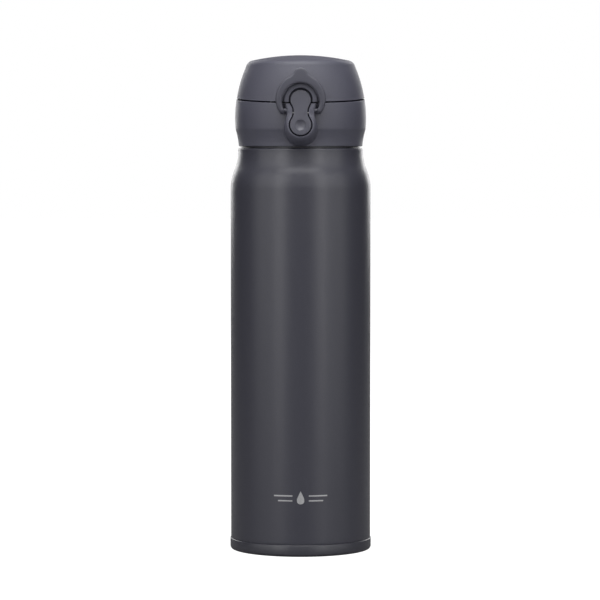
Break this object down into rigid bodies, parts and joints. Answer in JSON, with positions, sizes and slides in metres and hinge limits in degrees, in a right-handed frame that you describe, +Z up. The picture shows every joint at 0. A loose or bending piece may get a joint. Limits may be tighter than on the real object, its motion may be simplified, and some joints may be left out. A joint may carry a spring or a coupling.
{
  "type": "vacuum flask",
  "caption": "Slim double-walled vacuum bottle with a screw-on cap, a flip lid on a rear hinge, a keyhole push button and a swinging lock ring at the front.",
  "frame": {"origin": "centre of the base cap's foot, on the plane that the bottle stands on", "axes": "+Z up the bottle, -Y towards the push button, +X to the right of someone facing the button"},
  "size_m": [0.07, 0.0733, 0.245],
  "materials": {
    "painted_steel": "satin slate grey paint with a fine metallic grain",
    "bare_steel": "turned and electropolished stainless steel",
    "foil": "thin crinkled foil",
    "getter": "pressed metal cup",
    "solder": "dull solder",
    "base_plastic": "fine matte texture",
    "label_film": "blank matt silver film",
    "cap_plastic": "fine spark-eroded texture",
    "lid_plastic": "fine spark-eroded texture",
    "latch_plastic": "fine spark-eroded texture",
    "inner_plastic": "smooth moulded",
    "silicone": "translucent silicone",
    "pin_steel": "drawn steel pin",
    "spring_wire": "drawn spring wire"
  },
  "bodies": {
    "bottle": {"outer_shell": "painted_steel", "inner_bottle": "bare_steel", "bottom_plate": "bare_steel", "radiation_foil": "foil", "getter_capsule": "getter", "vacuum_seal": "solder", "base_cap": "base_plastic", "base_label": "label_film"},
    "stopper": {"stopper_gasket": "silicone"},
    "cap": {"cap_collar": "cap_plastic", "thread_sleeve": "inner_plastic", "mouthpiece": "inner_plastic", "mouthpiece_gasket": "silicone", "hinge_pin": "pin_steel", "lid_spring": "spring_wire", "button_pin": "pin_steel", "button_spring": "spring_wire"},
    "lid": {"lid_shell": "lid_plastic", "lid_liner": "inner_plastic", "lid_gasket": "silicone"},
    "ring": {"lock_ring": "latch_plastic"},
    "button": {"open_button": "latch_plastic"}
  },
  "joints": [
    {"name": "cap_rise", "type": "slide", "parent": "bottle", "child": "stopper", "axis": [0, 0, 1], "range_m": [0, 0.0161]},
    {"name": "cap_turn", "type": "hinge", "parent": "stopper", "child": "cap", "pos_m": [0, 0, 0.2], "axis": [0, 0, 1], "range_deg": [0, 1440]},
    {"name": "lid_flip", "type": "hinge", "parent": "cap", "child": "lid", "pos_m": [0, 0.0315, 0.223], "axis": [-1, 0, 0], "range_deg": [0, 120]},
    {"name": "ring_swing", "type": "hinge", "parent": "cap", "child": "ring", "pos_m": [0, -0.03365, 0.2175], "axis": [1, 0, 0], "range_deg": [0, 140]},
    {"name": "button_press", "type": "hinge", "parent": "cap", "child": "button", "pos_m": [0, -0.03227, 0.21619], "axis": [1, 0, 0], "range_deg": [0, 6], "stiffness_Nm_per_rad": 0.05, "springref_deg": -5.73, "deforming": ["button_spring"]}
  ],
  "couplings": [
    {"joint": "cap_rise", "follows": "cap_turn", "m_per_rad": 0.00063662}
  ]
}
